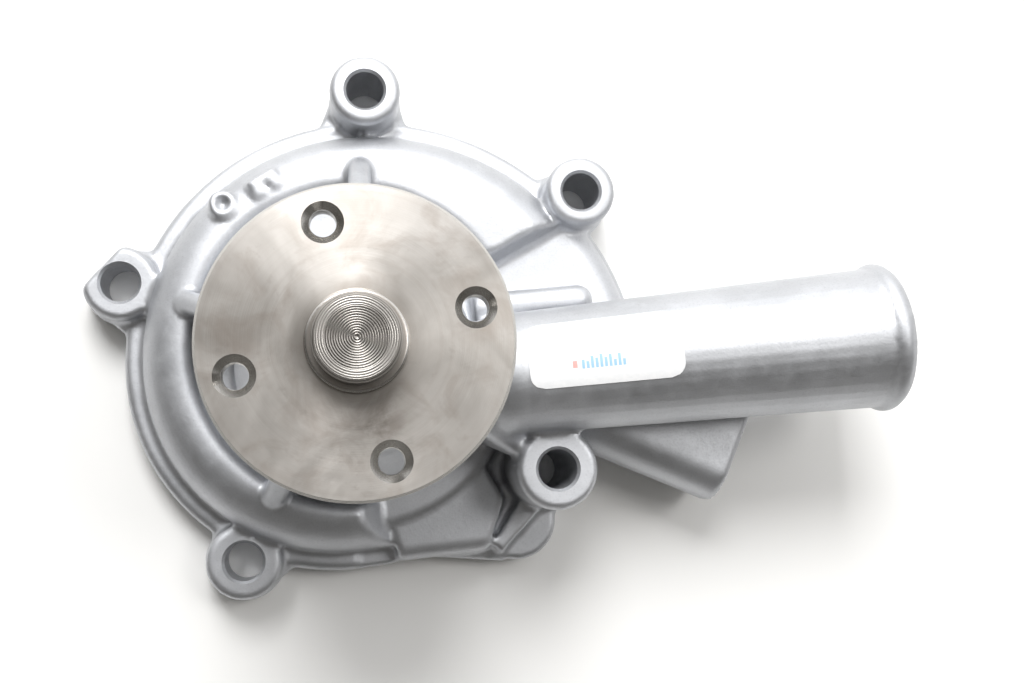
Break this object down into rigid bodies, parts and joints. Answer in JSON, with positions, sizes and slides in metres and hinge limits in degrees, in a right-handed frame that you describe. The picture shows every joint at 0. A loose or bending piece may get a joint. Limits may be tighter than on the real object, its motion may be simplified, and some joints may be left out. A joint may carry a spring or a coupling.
{
  "type": "automotive water pump",
  "caption": "Spiral-cased engine water pump with a flanged shaft for a pulley, a hose neck with a bead, a threaded side port and a vaned wheel open to the rear.",
  "frame": {"origin": "on the shaft axis in the plane of the gasket face", "axes": "+Z along the shaft towards the pulley flange, +X along the hose neck towards its mouth"},
  "size_m": [0.1776, 0.1203, 0.0828],
  "materials": {
    "cast_aluminium": "satin as-cast, machined faces",
    "bearing_steel": "ground",
    "brown_rubber": "matte",
    "seal_brass": "pressed",
    "black_rubber": "matte",
    "spring_steel": "bright",
    "carbon": "lapped",
    "label_paper": "satin",
    "shaft_steel": "turned and ground",
    "flange_steel": "turned, slightly stained",
    "impeller_iron": "as-cast",
    "seat_ceramic": "lapped",
    "ball_steel": "polished",
    "cage_nylon": "moulded"
  },
  "bodies": {
    "housing": {"pump_body": "cast_aluminium", "bearing_outer_ring": "bearing_steel", "bearing_front_seal": "brown_rubber", "bearing_rear_seal": "brown_rubber", "seal_case": "seal_brass", "seal_bellows": "black_rubber", "seal_spring": "spring_steel", "seal_retainer": "spring_steel", "carbon_ring": "carbon", "label": "label_paper"},
    "rotor": {"pump_shaft": "shaft_steel", "pulley_flange": "flange_steel", "impeller": "impeller_iron", "seat_ring": "seat_ceramic", "seat_cup": "black_rubber", "slinger": "spring_steel"},
    "front_ball_row": {"front_balls": "ball_steel", "front_cage": "cage_nylon"},
    "rear_ball_row": {"rear_balls": "ball_steel", "rear_cage": "cage_nylon"}
  },
  "joints": [
    {"name": "shaft_spin", "type": "hinge", "parent": "housing", "child": "rotor", "pos_m": [0, 0, 0.051], "axis": [0, 0, 1], "continuous": true},
    {"name": "front_row_spin", "type": "hinge", "parent": "housing", "child": "front_ball_row", "pos_m": [0, 0, 0.058], "axis": [0, 0, 1], "continuous": true},
    {"name": "rear_row_spin", "type": "hinge", "parent": "housing", "child": "rear_ball_row", "pos_m": [0, 0, 0.0445], "axis": [0, 0, 1], "continuous": true}
  ],
  "couplings": [
    {"joint": "front_row_spin", "follows": "shaft_spin", "ratio": 0.3469},
    {"joint": "rear_row_spin", "follows": "shaft_spin", "ratio": 0.3469}
  ]
}
